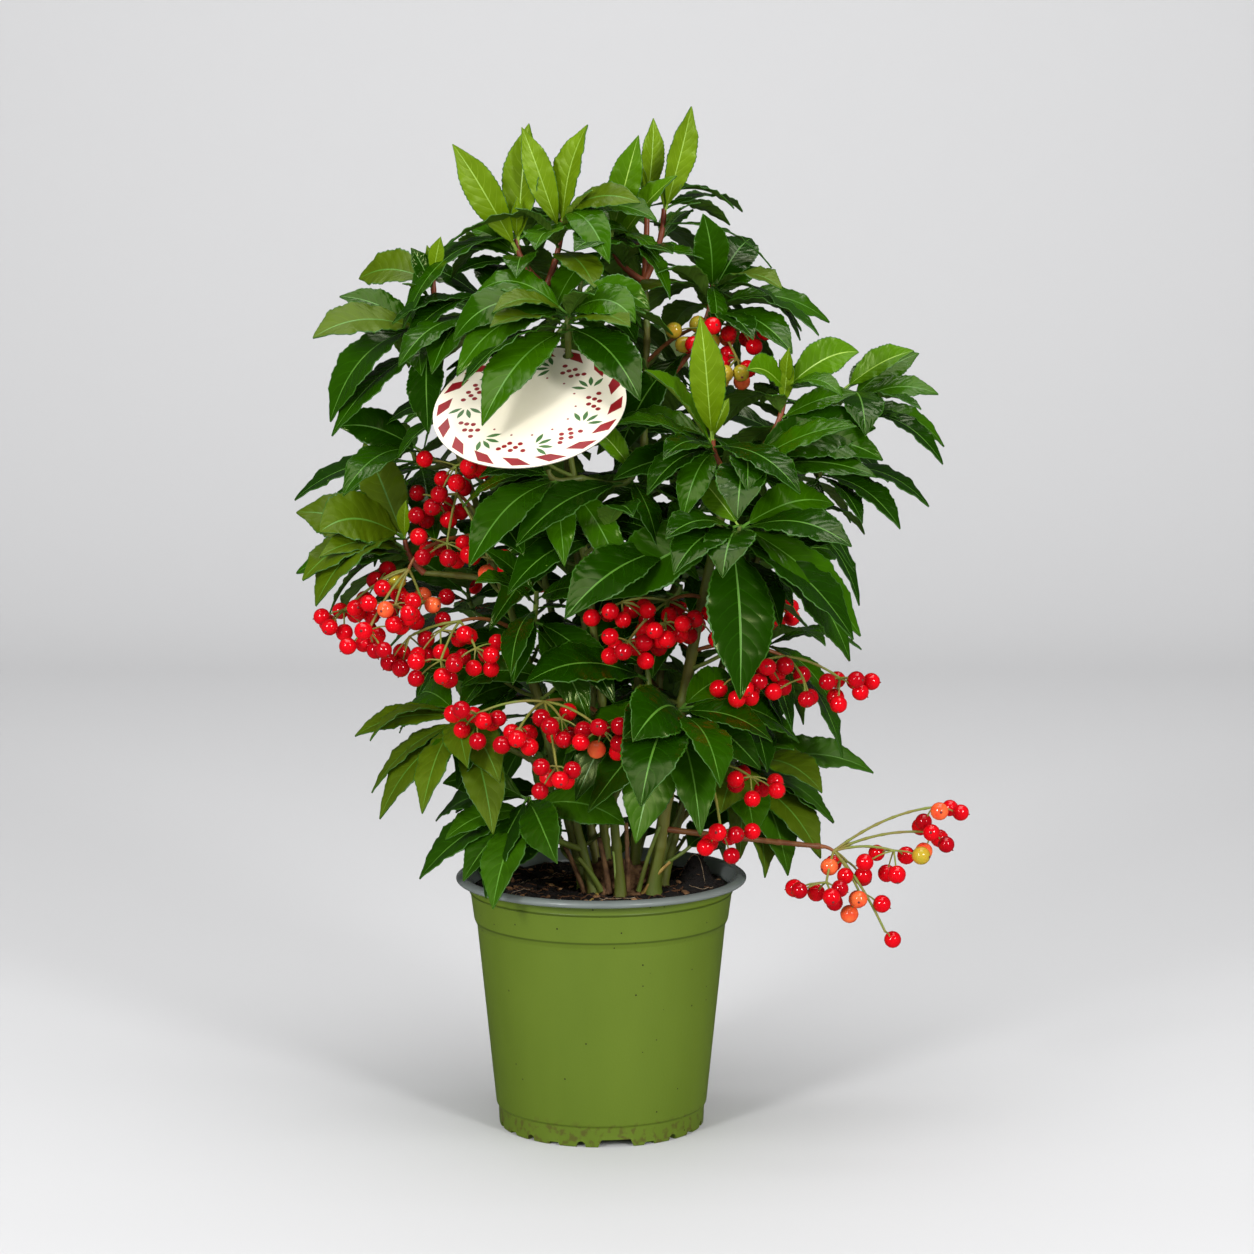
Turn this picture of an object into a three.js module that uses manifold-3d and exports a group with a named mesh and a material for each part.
// A coral ardisia in a nursery pot: a clump of woody canes on one root crown, whorls of arching
// evergreen leaves at the shoot tips, umbels of red berries hanging among them, and a round card
// hooked on one shoot. Millimetres, +Z up, -Y towards the front; the origin is the middle of the
// pot's underside.
import * as THREE from "three";
import { mergeVertices } from "three/addons/utils/BufferGeometryUtils.js";
import Module from "manifold-3d";

const wasm = await Module();
wasm.setup();

// Driving dimensions
const GAP = 0.3; // between neighbouring pieces
const SLIVER = 0.35; // smallest facet kept where the parts of a mass join
const POT = { height: 122.4, rim: 70, lip: 64.6, neck: 63.3, waist: 59.9, kink: 50.9, foot: 50 };
const WALL = 1.3;
const COLLAR = { top: 118, bottom: 101, radius: 61.3 };
const WAIST_Z = 98;
const KINK_Z = 10.5;
const FLOOR_Z = 5; // inside of the pot's floor
const UNDERSIDE_Z = 3; // recessed underside, between the foot ring and the middle pad
const NOTCH = { wide: 15, small: 4.4, flat: 5.5, turn: 8.5, clear: 19.4, smalls: 10 };
const SOIL = { middle: 113.5, edge: 110.5, flat: 36 };
const ROOT_Z = SOIL.middle + GAP;
const GOLDEN = 137.5; // degrees from each leaf to the next
const LEAF = { long: 62, wide: 0.35, thick: 1, fold: 0.1 }; // wide and fold are shares
const BERRY_R = 4.2;
const CARD = { radius: 44.5, thick: 0.9, centre: [-32, -60, 350], recline: 34, roll: 8 };

const up = new THREE.Vector3(0, 0, 1);
const vec = (p) => new THREE.Vector3(...p);
const mix = (a, b, t) => a + (b - a) * t;
const rad = (degrees) => (degrees * Math.PI) / 180;

// The same numbers come out for the same seed
const randomFrom = (seed) => () => (seed = (seed * 16807) % 2147483647) / 2147483647;

// Colours, all as sRGB
const paint = (color, roughness) => new THREE.MeshStandardMaterial({ color, roughness });
const material = {
  pot: paint("#6a8030", 0.42),
  soil: paint("#1d130d", 0.95),
  bark: paint("#6b6a2c", 0.7),
  crown: paint("#4a2f1a", 0.9),
  leaf: paint("#1f5a1a", 0.35),
  berry: paint("#d3101c", 0.2),
  card: paint("#f3efe2", 0.35),
};

// A closed geometry as a solid, and back
function solid(geometry) {
  const bare = geometry.clone();
  bare.deleteAttribute("normal");
  bare.deleteAttribute("uv");
  const merged = mergeVertices(bare, 1e-3);
  return new wasm.Manifold(
    new wasm.Mesh({
      numProp: 3,
      vertProperties: merged.attributes.position.array,
      triVerts: new Uint32Array(merged.index.array),
    }),
  );
}

function geometryOf(made) {
  const mesh = made.getMesh();
  const flat = new Float32Array(mesh.numVert * 3);
  for (let i = 0; i < mesh.numVert; i++)
    for (let k = 0; k < 3; k++) flat[3 * i + k] = mesh.vertProperties[i * mesh.numProp + k];
  const geometry = new THREE.BufferGeometry();
  geometry.setAttribute("position", new THREE.BufferAttribute(flat, 3));
  geometry.setIndex(new THREE.BufferAttribute(mesh.triVerts, 1));
  geometry.computeVertexNormals();
  return geometry;
}

const plant = new THREE.Group();
const placed = []; // every solid so far, with its box, for later pieces to keep clear of

function addNode(name, made, surface) {
  const mesh = new THREE.Mesh(geometryOf(made), surface);
  mesh.name = name;
  plant.add(mesh);
  placed.push({ name, made, box: made.boundingBox() });
}

// The largest body of a union, without loose scraps or sealed hollows
const mainBody = (made) => made.decompose().sort((a, b) => b.volume() - a.volume())[0];

// That body with the slivers left at its joints taken out
const tidied = (made) => mainBody(mainBody(made).asOriginal().simplify(SLIVER));

const boxesMeet = (a, b) => [0, 1, 2].every((k) => a.min[k] < b.max[k] && b.min[k] < a.max[k]);

function touchesPlaced(made, except = "") {
  const box = made.boundingBox();
  const near = placed.filter((p) => p.name !== except && boxesMeet(box, p.box));
  return near.some((p) => !made.intersect(p.made).isEmpty());
}

// A cylinder whose rings are carried along a path: place(t, x, z) gives the point of a ring's
// corner (x, z) at t, from 0 to 1. A pointed one ends in a tip.
function swept(sides, steps, pointed, place) {
  const geometry = new THREE.CylinderGeometry(pointed ? 0 : 1, 1, 1, sides, steps);
  const position = geometry.attributes.position;
  for (let i = 0; i < position.count; i++) {
    const [x, z] = [position.getX(i), position.getZ(i)];
    const out = Math.hypot(x, z);
    const onAxis = out < 1e-6;
    const at = place(position.getY(i) + 0.5, onAxis ? 0 : x / out, onAxis ? 0 : z / out);
    position.setXYZ(i, at.x, at.y, at.z);
  }
  return solid(geometry);
}

// A limb round a curve, with its radius at each t
function limbSolid(curve, radiusAt, sides, steps, spare = 0) {
  return swept(sides, steps, false, (t, x, z) => {
    const along = curve.getTangent(t);
    const across = new THREE.Vector3(1, 0, 0).addScaledVector(along, -along.x).normalize();
    const third = across.clone().cross(along);
    const r = radiusAt(t) + spare;
    return curve.getPoint(t).addScaledVector(across, x * r).addScaledVector(third, z * r);
  });
}

// Pot and soil

function latheSolid(outline, turns) {
  const profile = outline.map(([r, z]) => new THREE.Vector2(r, z));
  return solid(new THREE.LatheGeometry(profile, turns).rotateX(Math.PI / 2));
}

// The pot's outer radius at height z, along the straight draft of its body
const bodyRadius = (z) => mix(POT.kink, POT.waist, (z - KINK_Z) / (WAIST_Z - KINK_Z));

function pot() {
  const { height, rim, lip, neck, kink, foot } = POT;
  let made = latheSolid(
    [
      [0, 0],
      [8, 0],
      [9.5, UNDERSIDE_Z],
      [43, UNDERSIDE_Z],
      [44.5, 0],
      [foot - 0.5, 0],
      [foot, KINK_Z - 1],
      [kink, KINK_Z],
      [bodyRadius(WAIST_Z), WAIST_Z],
      [COLLAR.radius, COLLAR.bottom],
      [neck, COLLAR.top],
      [rim - 0.8, COLLAR.top + 1],
      [rim, COLLAR.top + 2.6],
      [rim - 1.2, height - 0.4],
      [lip + 1.6, height],
      [lip, height - 1],
      [neck - WALL, COLLAR.top - 1],
      [bodyRadius(WAIST_Z) - WALL, WAIST_Z],
      [kink - WALL - 1.2, FLOOR_Z + 3],
      [kink - 6, FLOOR_Z],
      [0, FLOOR_Z],
    ],
    30,
  );
  // Drain notches in the foot ring: two wide gaps and, between them, low and arched ones in turn
  const notch = (turn, wide, high) => {
    const cut = new THREE.BoxGeometry(wide, 12, 2 * high).translate(0, 1 - foot, 0);
    made = made.subtract(solid(cut.rotateZ(rad(turn))));
  };
  for (const half of [0, 180]) {
    notch(NOTCH.turn + half, NOTCH.wide, 3.7);
    for (let i = 0; i < NOTCH.smalls; i++) {
      const along = mix(NOTCH.clear, 180 - NOTCH.clear, i / (NOTCH.smalls - 1));
      notch(NOTCH.turn + half + along, i % 2 ? NOTCH.small : NOTCH.flat, i % 2 ? 2.6 : 1.4);
    }
  }
  return made;
}

// Soil filling the pot, level round the canes, with one raised clod at the right
function soil() {
  const wall = WALL + GAP + 0.6;
  const body = latheSolid(
    [
      [0, FLOOR_Z + GAP],
      [POT.kink - 7, FLOOR_Z + GAP],
      [POT.kink - wall - 1.5, FLOOR_Z + 4],
      [bodyRadius(WAIST_Z) - wall, WAIST_Z],
      [POT.neck - wall - 1.4, SOIL.edge],
      [SOIL.flat, SOIL.middle],
      [0, SOIL.middle],
    ],
    28,
  );
  const clod = new THREE.IcosahedronGeometry(8, 1).scale(1, 0.9, 1.5);
  return body.add(solid(clod.translate(46, 14, SOIL.middle + 1)));
}

// Canes and boughs

const limbs = {};

// A bend that leaves its start steeply and leans into its end
function leaningCurve(start, end, rise = 0.56, lean = 0.42) {
  const bend = start.clone().lerp(end, lean);
  bend.z = mix(start.z, end.z, rise);
  return new THREE.QuadraticBezierCurve3(start, bend, end);
}

// Everything from the flat cut on the soil upwards
const aboveSoil = () => solid(new THREE.BoxGeometry(300, 300, 500).translate(0, 0, ROOT_Z + 250));

function addLimb(name, curve, thick, thin, flare, steps, carrier) {
  const radiusAt = (t) => mix(thick, thin, t) + flare * Math.max(0, 1 - 10 * t) ** 2;
  let made = limbSolid(curve, radiusAt, 5, steps).intersect(aboveSoil());
  if (carrier) made = made.subtract(limbs[carrier].fat);
  // What is fixed to the limb is cut by this larger one, and so stays clear of its side and tip
  const wider = limbSolid(curve, radiusAt, 5, steps, GAP);
  const beyond = curve.getTangent(1).multiplyScalar(GAP).toArray();
  limbs[name] = { curve, radiusAt, fat: wider.add(wider.translate(beyond)) };
  addNode(name, made, material.bark);
}

// Name, foot on the soil, tip at the first fork and radius at the foot
const CANES = [
  ["cane_right", [24, -8], [57, -28, 300], 3.3],
  ["cane_centre", [10, -14], [-14, -30, 326], 3.0],
  ["cane_left", [-2, -10], [-62, -6, 300], 2.9],
  ["cane_left_back", [-7, 2], [-78, 4, 352], 2.8],
  ["cane_top_left", [4, 3], [-24, 10, 384], 3.0],
  ["cane_top_right", [16, 4], [22, 18, 384], 3.1],
  ["cane_far_right", [28, 5], [92, 16, 318], 2.8],
  ["cane_back_left", [0, 14], [-42, 60, 318], 2.8],
  ["cane_back_right", [14, 16], [48, 62, 318], 2.9],
];

function canes() {
  for (const [name, foot, tip, thick] of CANES) {
    const curve = leaningCurve(vec([...foot, ROOT_Z - 6]), vec(tip));
    addLimb(name, curve, thick, thick * 0.62, 2.2, 5);
  }
}

// Name, the limb it leaves, how far along that, tip and radius
const BOUGHS = [
  ["bough_front", "cane_centre", 1, [-15, -32, 380], 1.8],
  ["bough_face", "cane_right", 0.86, [62, -46, 285], 1.7],
  ["bough_left", "cane_left", 0.8, [-84, -4, 268], 1.6],
  ["bough_low_left", "cane_left", 0.3, [-56, -12, 190], 1.6],
  ["bough_low_front", "cane_centre", 0.22, [26, -38, 196], 1.6],
  ["bough_low_right", "cane_far_right", 0.16, [56, 18, 162], 1.6],
  ["bough_back_low", "cane_back_left", 0.25, [-8, 50, 186], 1.6],
  ["bough_hanging", "cane_right", 0.18, [104, -31, 141], 1.5],
];

function boughs() {
  for (const [name, limb, at, tip, thick] of BOUGHS) {
    const curve = leaningCurve(limbs[limb].curve.getPoint(at), vec(tip), 0.6, 0.5);
    addLimb(name, curve, thick, thick * 0.8, 0, 3, limb);
  }
}

// The knobbly woody base between the canes, sitting flat on the soil
function rootCrown() {
  const knob = new THREE.IcosahedronGeometry(15, 0).scale(1.2, 1, 0.85);
  let made = solid(knob.translate(8, 2, SOIL.middle + 2)).intersect(aboveSoil());
  for (const [name] of CANES) made = made.subtract(limbs[name].fat);
  return mainBody(made);
}

// A round card lying back on the foliage, with a shoot through the hole near its upper edge
function card() {
  const outline = new THREE.Shape().absarc(0, 0, CARD.radius, 0, 2 * Math.PI);
  const depth = CARD.thick;
  const plate = new THREE.ExtrudeGeometry(outline, { depth, bevelEnabled: false, curveSegments: 20 });
  plate.rotateX(rad(CARD.recline)).rotateY(rad(-CARD.roll)).translate(...CARD.centre);
  return solid(plate).subtract(limbs.bough_front.fat);
}

// Twigs

// Bends tried, in order, where a straight way between two points would touch another piece
const DETOURS = [
  [0, 0],
  [0, -9],
  [0, 9],
  [9, 0],
  [-9, 0],
  [12, -12],
  [-12, -12],
  [12, 12],
  [-12, 12],
];

// A clear curve between two points that bends by way of a third, or null
function clearCurve(from, bend, to, radius, carrier) {
  for (const [x, y] of DETOURS) {
    const shifted = bend.clone().add(new THREE.Vector3(x, y, 0));
    const curve = new THREE.QuadraticBezierCurve3(from, shifted, to);
    if (!touchesPlaced(limbSolid(curve, () => radius + GAP, 3, 4), carrier)) return curve;
  }
  return null;
}

const halfway = (a, b) => a.clone().lerp(b, 0.5);

// Leaves

// A leaf has three sides, its two edges and a keel, and half its width at s is a share of the widest
const bladeShape = [
  [0, 0.06],
  [0.32, 0.9],
  [0.68, 0.84],
  [1, 0],
];

function leafSolid({ root, d0, face, long, droop }, spare = 0) {
  const midrib = (s) =>
    root
      .clone()
      .addScaledVector(d0, long * s * (1 - 0.25 * droop * s))
      .addScaledVector(up, -0.5 * long * droop * s * s);
  const rings = bladeShape.length - 1;
  return swept(3, rings, true, (t, x, z) => {
    const [s, share] = bladeShape[Math.round(t * rings)];
    const along = midrib(s + 0.02).sub(midrib(s - 0.02)).normalize();
    const side = face.clone().cross(along).normalize();
    const below = side.clone().cross(along);
    const half = 0.5 * long * LEAF.wide * share;
    const edge = Math.abs(x) > 0.1 ? Math.sign(x) : 0;
    const keel = z ? LEAF.thick * (0.45 + 0.55 * share) + spare : 0;
    return midrib(s)
      .addScaledVector(side, edge * (half + spare))
      .addScaledVector(below, edge ? -LEAF.fold * half - spare : keel);
  });
}

// A shoot's leaves: its leading ones as [turn, lean, length], then more by the golden angle. Turn
// is the compass way seen from above, 0 to the right and 90 to the back, and lean is from upright.
function leafPlans(shoot, random) {
  const plans = (shoot.lead ?? []).map(([turn, lean, long]) => ({ turn, lean, long }));
  const first = shoot.turn ?? 0;
  for (let i = 0; i < (shoot.more ?? 0); i++) {
    const turn = (first + i * GOLDEN + 20 * random()) % 360;
    const lean = mix(105, 55, i / shoot.more) + 20 * (random() - 0.5);
    const long = (shoot.long ?? LEAF.long) * (0.85 + 0.3 * random());
    const near = (p) => Math.abs(((p.turn - turn + 540) % 360) - 180) < 28 && Math.abs(p.lean - lean) < 28;
    if (!plans.some(near)) plans.push({ turn, lean, long });
  }
  return plans;
}

// Turns and lifts tried, in order, where a leaf would touch another piece
const NUDGES = [
  [0, 0],
  [14, 0],
  [-14, 0],
  [0, -14],
  [28, -8],
  [-28, -8],
  [0, 14],
];

// Spread leaves face up, out of the plant and a little to the front, where its light came from,
// and upright ones face the front
function faceOf(tip, lean) {
  const upright = Math.cos(rad(Math.min(lean, 90)));
  const outward = new THREE.Vector3(tip.x, tip.y, 0).normalize();
  outward.multiplyScalar(0.3 * (1 - upright));
  return outward.add(new THREE.Vector3(0, -0.2 - upright, 0.85 - 0.5 * upright));
}

function placeLeaf({ turn, lean, long }, root, face) {
  for (const [aside, lift] of NUDGES) {
    const flat = Math.sin(rad(lean + lift));
    const way = rad(turn + aside);
    const d0 = new THREE.Vector3(flat * Math.cos(way), flat * Math.sin(way), Math.cos(rad(lean + lift)));
    const leaf = { root, d0, face, long, droop: 0.1 + 0.26 * rad(lean) };
    if (!touchesPlaced(leafSolid(leaf, GAP))) return leafSolid(leaf);
  }
  return null;
}

// One mass of foliage: a stem from its limb forks into shoots that end upright, with the lowest
// leaf first and each next one higher, up to the tip
function leafMass({ name, limb, at, seed, shoots, wood = 1.6, spread = 16 }) {
  const random = randomFrom(seed);
  const root = limbs[limb].curve.getPoint(at);
  const tips = shoots.map((s) => vec(s.tip));
  const middle = tips.reduce((sum, p) => sum.add(p), new THREE.Vector3()).divideScalar(tips.length);
  const hub = tips.length > 1 ? root.clone().lerp(middle, 0.4) : root;
  const parts = [];
  if (hub !== root) {
    const stem = clearCurve(root, halfway(root, hub), hub, wood, limb);
    parts.push(limbSolid(stem, () => wood, 3, 2));
  }
  const leaves = [];
  tips.forEach((tip, i) => {
    const bend = tip.clone().addScaledVector(up, -0.45 * hub.distanceTo(tip));
    const curve = clearCurve(hub, bend, tip, wood, limb);
    if (!curve) return;
    parts.push(limbSolid(curve, (t) => mix(wood, 1.3, t), 3, 3));
    const plans = leafPlans(shoots[i], random);
    const reach = Math.min(spread, 0.7 * curve.getLength()) / curve.getLength();
    plans.forEach((plan, k) => {
      const t = 1 - reach * (1 - (k + 0.5) / plans.length);
      const leaf = placeLeaf(plan, curve.getPoint(t), faceOf(tip, plan.lean));
      if (leaf) leaves.push(leaf);
    });
  });
  const wooden = wasm.Manifold.union(parts).subtract(limbs[limb].fat);
  addNode(name, tidied(wasm.Manifold.union([wooden, ...leaves])), material.leaf);
}

// Masses of leaves, those that show most from the front first
const LEAF_MASSES = [
  {
    name: "leaves_front_crown", limb: "bough_front", at: 1, seed: 11,
    shoots: [
      {
        tip: [-15, -36, 391], more: 5, turn: 100,
        lead: [
          [235, 105, 79], [305, 100, 70], [220, 95, 72], [225, 75, 56],
          [305, 75, 60], [325, 70, 51], [170, 65, 53], [290, 60, 46],
        ],
      },
    ],
  },
  {
    name: "leaves_right_face", limb: "bough_face", at: 1, seed: 12,
    shoots: [
      {
        tip: [64, -62, 296],
        lead: [
          [275, 145, 67], [335, 110, 74], [20, 120, 80], [235, 88, 61],
          [225, 75, 56], [330, 80, 65], [145, 40, 37],
        ],
      },
      { tip: [31, -50, 290], lead: [[220, 95, 78], [140, 70, 50]] },
    ],
  },
  {
    name: "leaves_right_front", limb: "cane_right", at: 1, seed: 13, spread: 18,
    shoots: [
      {
        tip: [52, -38, 334],
        lead: [[205, 80, 63], [200, 60, 65], [240, 75, 56], [215, 40, 66], [250, 20, 61]],
      },
      {
        tip: [67, -34, 322],
        lead: [[345, 75, 75], [330, 58, 76], [5, 62, 78], [60, 80, 60], [120, 70, 56]],
      },
      {
        tip: [86, -24, 356],
        lead: [[350, 60, 46], [255, 55, 29], [300, 10, 25], [60, 95, 56], [20, 112, 50], [95, 70, 48]],
      },
    ],
  },
  {
    name: "leaves_top_left", limb: "cane_top_left", at: 1, seed: 14, spread: 22,
    shoots: [
      {
        tip: [-40, 10, 426], more: 3, turn: 70,
        lead: [[265, 90, 58], [205, 80, 40], [195, 70, 40], [150, 55, 38], [200, 28, 60], [20, 6, 58]],
      },
      {
        tip: [-18, 8, 438], more: 3, turn: 40,
        lead: [[290, 90, 59], [260, 75, 57], [220, 50, 39], [310, 40, 40], [195, 20, 58], [340, 14, 48]],
      },
    ],
  },
  {
    name: "leaves_top_right", limb: "cane_top_right", at: 1, seed: 15, spread: 22,
    shoots: [
      {
        tip: [5, 12, 426], more: 2, turn: 80,
        lead: [[245, 80, 65], [300, 70, 58], [340, 75, 50], [235, 50, 46], [350, 35, 56], [300, 14, 52]],
      },
      { tip: [22, 26, 446], lead: [[110, 60, 40], [330, 5, 46]] },
      { tip: [30, 20, 440], lead: [[60, 55, 45], [330, 50, 30], [345, 13, 60]] },
    ],
  },
  {
    name: "leaves_right_crown", limb: "cane_top_right", at: 0.86, seed: 16, spread: 20,
    shoots: [
      {
        tip: [53, 16, 404], more: 2, turn: 150,
        lead: [
          [265, 90, 60], [310, 90, 66], [335, 85, 65], [5, 82, 66],
          [235, 60, 56], [40, 55, 41], [60, 50, 60], [245, 25, 49],
        ],
      },
    ],
  },
  {
    name: "leaves_left_crown", limb: "cane_left_back", at: 1, seed: 17,
    shoots: [
      { tip: [-79, 0, 408], lead: [[200, 50, 22], [205, 25, 28], [20, 15, 34]] },
      {
        tip: [-84, -2, 384],
        lead: [[200, 115, 62], [275, 125, 50], [270, 95, 46], [175, 55, 53], [120, 75, 54]],
      },
      { tip: [-54, -10, 400], lead: [[225, 95, 60], [240, 105, 53], [190, 85, 50], [60, 60, 50]] },
    ],
  },
  {
    name: "leaves_far_right", limb: "cane_far_right", at: 1, seed: 18,
    shoots: [
      {
        tip: [116, 16, 354], more: 3, turn: 120, long: 56,
        lead: [[340, 100, 54], [5, 95, 52], [315, 75, 50], [345, 70, 50], [15, 50, 50]],
      },
      { tip: [104, -2, 316], lead: [[350, 90, 62], [300, 100, 46], [250, 115, 43], [60, 90, 56]] },
    ],
  },
  {
    name: "leaves_centre", limb: "cane_centre", at: 0.93, seed: 19,
    shoots: [
      { tip: [16, -36, 320], lead: [[220, 95, 74], [295, 120, 40], [165, 40, 38]] },
      { tip: [-24, -40, 320], lead: [[225, 105, 70], [280, 125, 46], [200, 75, 40], [160, 95, 50]] },
    ],
  },
  {
    name: "leaves_left", limb: "bough_left", at: 1, seed: 20, spread: 14,
    shoots: [
      {
        tip: [-93, -4, 284],
        lead: [
          [155, 105, 60], [195, 92, 58], [160, 85, 68], [215, 75, 56],
          [170, 62, 68], [300, 60, 44], [170, 20, 60], [60, 80, 50],
        ],
      },
    ],
  },
  {
    name: "leaves_inner_left", limb: "cane_left", at: 0.62, seed: 22,
    shoots: [
      {
        tip: [-30, -28, 262],
        lead: [[225, 120, 44], [255, 105, 50], [230, 60, 54], [320, 70, 48], [150, 50, 40]],
      },
    ],
  },
  {
    name: "leaves_middle", limb: "cane_top_left", at: 0.6, seed: 21,
    shoots: [{ tip: [4, -8, 292], more: 6, turn: 200 }],
  },
  {
    name: "leaves_low_left", limb: "bough_low_left", at: 1, seed: 23, spread: 14,
    shoots: [
      {
        tip: [-69, -12, 204],
        lead: [[200, 118, 58], [250, 105, 44], [185, 112, 54], [180, 85, 56], [125, 90, 60], [60, 70, 50]],
      },
    ],
  },
  {
    name: "leaves_bottom_left", limb: "cane_left", at: 0.13, seed: 24, spread: 14,
    shoots: [
      {
        tip: [-34, -26, 164],
        lead: [[250, 108, 62], [220, 108, 50], [185, 105, 64], [285, 95, 58], [145, 90, 64]],
      },
    ],
  },
  {
    name: "leaves_low_front", limb: "bough_low_front", at: 1, seed: 25, spread: 12,
    shoots: [
      { tip: [37, -48, 209], lead: [[230, 105, 78], [230, 140, 56], [240, 80, 58], [350, 90, 50]] },
      { tip: [22, -30, 228], lead: [[205, 85, 76], [120, 80, 50]] },
    ],
  },
  {
    name: "leaves_low_right", limb: "bough_low_right", at: 1, seed: 26, spread: 12, wood: 1.5,
    shoots: [
      {
        tip: [66, 14, 174],
        lead: [
          [282, 105, 64], [320, 105, 66], [335, 95, 60], [355, 75, 78],
          [305, 60, 58], [70, 95, 60], [300, 122, 62],
        ],
      },
    ],
  },
  {
    name: "leaves_right", limb: "cane_far_right", at: 0.62, seed: 27, wood: 1.7,
    shoots: [{ tip: [80, 22, 232], lead: [[322, 105, 56], [305, 70, 60], [345, 75, 56]], more: 3, turn: 60 }],
  },
  {
    name: "leaves_inner_right", limb: "cane_top_right", at: 0.5, seed: 28,
    shoots: [{ tip: [38, 0, 262], more: 6, turn: 260 }],
  },
  {
    name: "leaves_back_top", limb: "cane_top_left", at: 0.9, seed: 29, spread: 18,
    shoots: [
      { tip: [-10, 54, 408], more: 7, turn: 15 },
      { tip: [-54, 46, 394], more: 7, turn: 80 },
    ],
  },
  {
    name: "leaves_back_left", limb: "cane_back_left", at: 1, seed: 30, spread: 18,
    shoots: [
      { tip: [-50, 84, 348], more: 7, turn: 45 },
      { tip: [-92, 50, 322], more: 7, turn: 120 },
    ],
  },
  {
    name: "leaves_back_right", limb: "cane_back_right", at: 1, seed: 31, spread: 18,
    shoots: [
      { tip: [46, 86, 354], more: 7, turn: 10 },
      { tip: [88, 60, 330], more: 7, turn: 70 },
    ],
  },
  {
    name: "leaves_back_middle", limb: "cane_back_right", at: 0.6, seed: 32,
    shoots: [
      { tip: [60, 76, 262], more: 6, turn: 0 },
      { tip: [6, 78, 272], more: 6, turn: 100 },
    ],
  },
  {
    name: "leaves_back_side", limb: "cane_back_left", at: 0.6, seed: 33,
    shoots: [{ tip: [-66, 56, 252], more: 8, turn: 20 }],
  },
  {
    name: "leaves_back_low", limb: "bough_back_low", at: 1, seed: 34,
    shoots: [
      { tip: [-26, 62, 194], more: 6, turn: 50 },
      { tip: [30, 62, 190], more: 6, turn: 140 },
    ],
  },
];

// Berries

const berryCentres = [];

// A berry at the end of its stalk: how far along from the centre, and how wide, each ring is
function berrySolid(centre, way, radius, stalk) {
  const across = new THREE.Vector3(1, 0, 0).addScaledVector(way, -way.x).normalize();
  const third = across.clone().cross(way);
  const rings = [
    [-stalk, 0.5],
    [-0.98 * radius, 0.45],
    [-0.4 * radius, radius],
    [0.45 * radius, radius],
    [radius, 0],
  ];
  return swept(4, rings.length - 1, true, (t, x, z) => {
    const [along, wide] = rings[Math.round(t * (rings.length - 1))];
    const at = centre.clone().addScaledVector(way, along);
    return at.addScaledVector(across, x * wide).addScaledVector(third, z * wide);
  });
}

// One fruiting branch: a stem from its limb to a hub, stalks on to the umbels, and berries that
// hang from each umbel on thin stalks, turned by the golden angle
function berryMass({ name, limb, at, hub, seed, umbels, berries = 3 }) {
  const random = randomFrom(seed);
  const root = limbs[limb].curve.getPoint(at);
  const centre = vec(hub);
  const bend = halfway(root, centre).addScaledVector(up, 0.2 * root.distanceTo(centre));
  const stem = clearCurve(root, bend, centre, 1.2, limb);
  const parts = [limbSolid(stem, (t) => mix(1.3, 1, t), 3, 3)];
  umbels.forEach((point, k) => {
    const umbel = vec(point);
    const arch = halfway(centre, umbel).addScaledVector(up, 0.15 * centre.distanceTo(umbel));
    const stalk = clearCurve(centre, arch, umbel, 0.9, limb);
    if (!stalk) return;
    parts.push(limbSolid(stalk, (t) => mix(0.9, 1.2, t), 3, 2));
    for (let j = 0; j < berries; j++) {
      const turn = rad(j * GOLDEN + 70 * k);
      const low = mix(-0.2, -0.95, (j + random()) / berries);
      const flat = Math.sqrt(1 - low * low);
      const way = new THREE.Vector3(Math.cos(turn) * flat, Math.sin(turn) * flat, low);
      const berry = umbel.clone().addScaledVector(way, 9.5 + 4.5 * random());
      const crowded = berryCentres.some((c) => c.distanceTo(berry) < 1.9 * BERRY_R);
      if (crowded || touchesPlaced(berrySolid(berry, way, BERRY_R + GAP, 0.7 * BERRY_R))) continue;
      berryCentres.push(berry);
      parts.push(berrySolid(berry, way, BERRY_R, berry.distanceTo(umbel) + 0.4));
    }
  });
  const made = wasm.Manifold.union(parts).subtract(limbs[limb].fat);
  addNode(name, tidied(made), material.berry);
}

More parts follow.
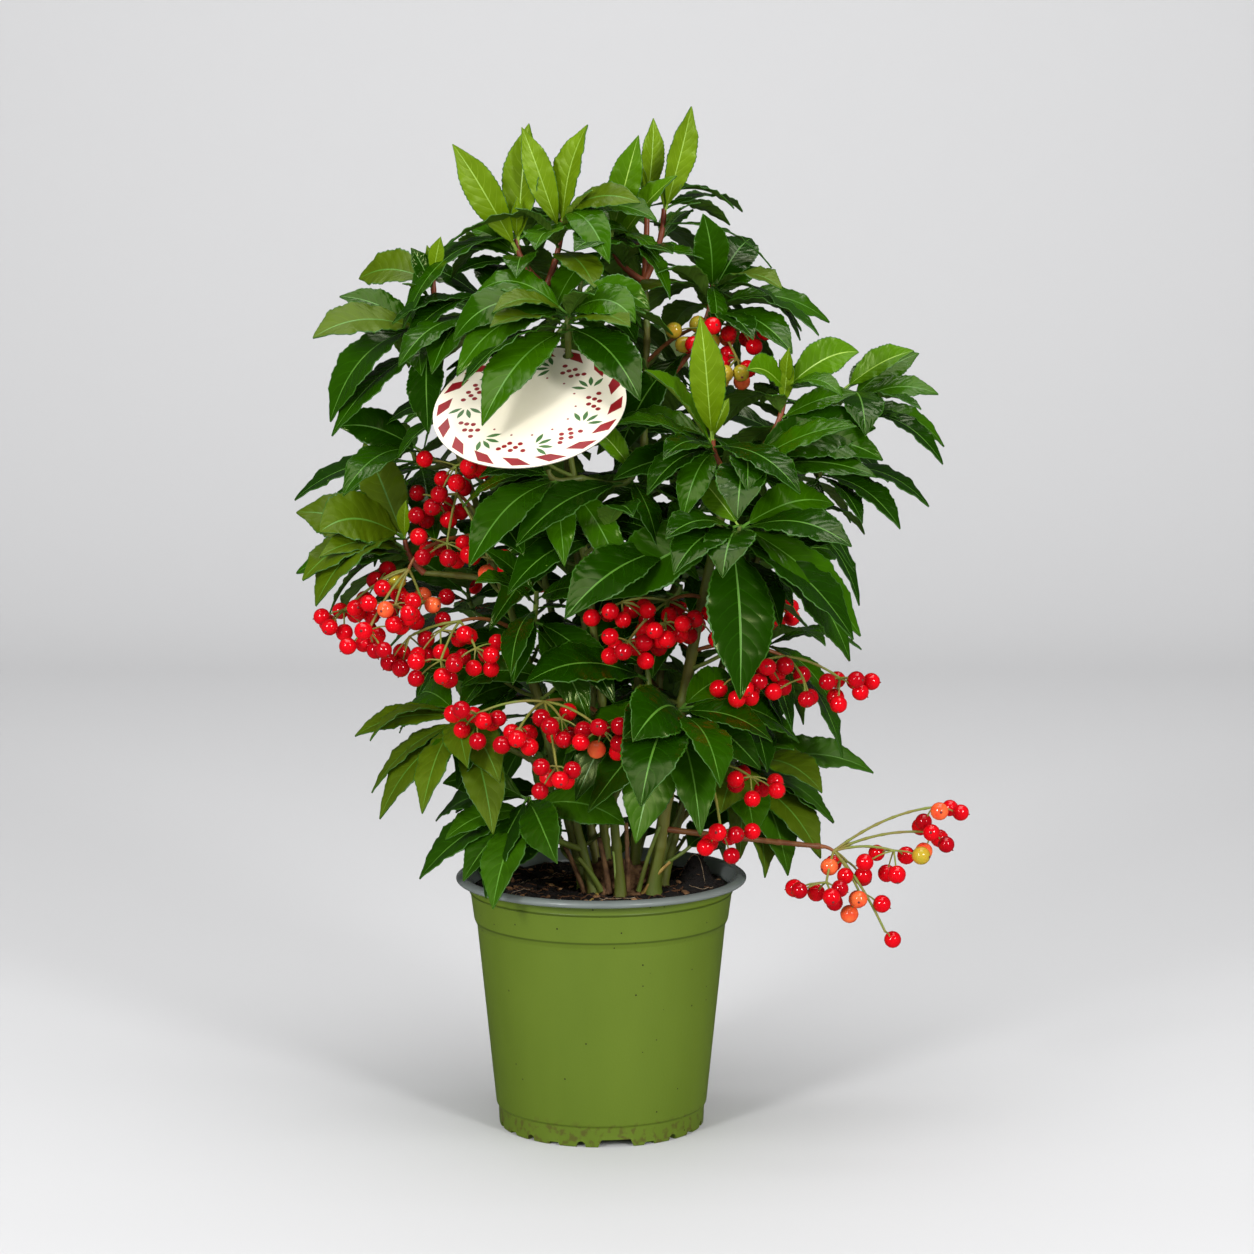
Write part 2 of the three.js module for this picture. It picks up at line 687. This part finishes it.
const BERRY_MASSES = [
  {
    name: "berries_left_upper", limb: "cane_left", at: 1, seed: 51, hub: [-68, -10, 306],
    umbels: [[-68, -16, 320], [-78, -10, 304], [-72, -24, 284], [-53, -14, 276]],
  },
  {
    name: "berries_left_outer", limb: "cane_left", at: 0.92, seed: 52, hub: [-90, -26, 272],
    umbels: [[-121, -20, 252], [-108, -42, 245], [-96, -34, 256], [-84, -22, 256], [-104, -20, 266]],
  },
  {
    name: "berries_left_low", limb: "cane_left", at: 0.66, seed: 53, hub: [-66, -30, 248],
    umbels: [[-75, -32, 244], [-58, -44, 237], [-74, -48, 232], [-90, -24, 240]],
  },
  {
    name: "berries_front", limb: "cane_centre", at: 0.4, seed: 54, hub: [-26, -44, 212],
    umbels: [[-57, -56, 208], [-37, -66, 203], [-18, -58, 206], [1, -66, 202], [-20, -72, 186]],
  },
  {
    name: "berries_centre", limb: "cane_right", at: 0.76, seed: 55, hub: [32, -34, 258],
    umbels: [[10, -38, 258], [13, -50, 241], [30, -50, 250], [45, -38, 250]],
  },
  {
    name: "berries_right", limb: "cane_right", at: 0.62, seed: 56, hub: [86, -34, 232],
    umbels: [[63, -46, 224], [80, -36, 226], [94, -50, 224], [112, -36, 222]],
  },
  {
    name: "berries_low_right", limb: "cane_right", at: 0.32, seed: 57, hub: [50, -34, 182],
    umbels: [[70, -46, 177], [56, -62, 154]],
  },
  {
    name: "berries_upper_right", limb: "cane_top_right", at: 0.93, seed: 58, hub: [54, 0, 386],
    umbels: [[48, -8, 384], [66, -2, 383], [64, -14, 370]],
  },
  {
    name: "berries_hanging", limb: "bough_hanging", at: 1, seed: 59, hub: [110, -32, 139], berries: 2,
    umbels: [
      [157, -32, 160], [157, -28, 147], [138, -36, 140], [116, -30, 134],
      [106, -42, 126], [122, -36, 120], [134, -40, 102],
    ],
  },
  {
    name: "berries_back_left", limb: "cane_back_left", at: 0.8, seed: 60, hub: [-50, 84, 270],
    berries: 4,
    umbels: [[-68, 94, 262], [-38, 100, 258]],
  },
  {
    name: "berries_back_right", limb: "cane_back_right", at: 0.74, seed: 61, hub: [64, 90, 250],
    berries: 4,
    umbels: [[86, 94, 242], [52, 102, 238]],
  },
];

addNode("pot", pot(), material.pot);
addNode("soil", soil(), material.soil);
canes();
addNode("root_crown", rootCrown(), material.crown);
boughs();
addNode("card", card(), material.card);
BERRY_MASSES.forEach(berryMass);
LEAF_MASSES.forEach(leafMass);

export default plant;
